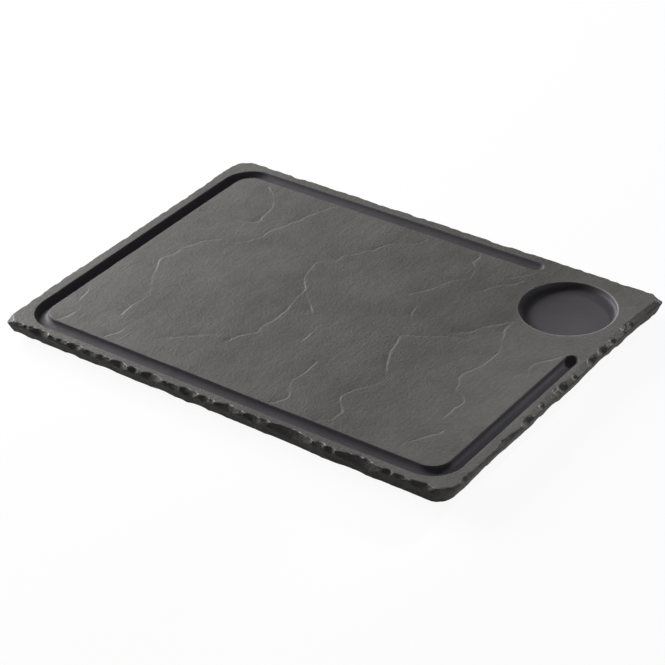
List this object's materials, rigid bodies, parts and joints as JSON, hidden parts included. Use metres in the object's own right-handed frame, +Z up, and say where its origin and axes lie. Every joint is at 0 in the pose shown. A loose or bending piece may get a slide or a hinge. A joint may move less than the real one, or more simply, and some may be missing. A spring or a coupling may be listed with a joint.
{
  "type": "serving board",
  "caption": "Flat rectangular porcelain board with a slate-like chipped edge, a juice groove round its rim, a round sauce well in one corner and silicone foot pads under its corners.",
  "frame": {"origin": "on the table, under the middle of the board's box", "axes": "+X along the long side towards the end with the sauce well, +Y along the short side towards the side with the sauce well, +Z up out of the carving face"},
  "size_m": [0.33, 0.24, 0.013],
  "materials": {
    "porcelain": "matt unglazed porcelain, coloured black-grey through the body, cleft like slate on its upper face and smooth in the groove and the well",
    "foot_pad": "moulded matt black silicone"
  },
  "bodies": {
    "root": {"board_body": "porcelain", "foot_pad_front_left": "foot_pad", "foot_pad_front_right": "foot_pad", "foot_pad_rear_left": "foot_pad", "foot_pad_rear_right": "foot_pad"}
  },
  "joints": []
}
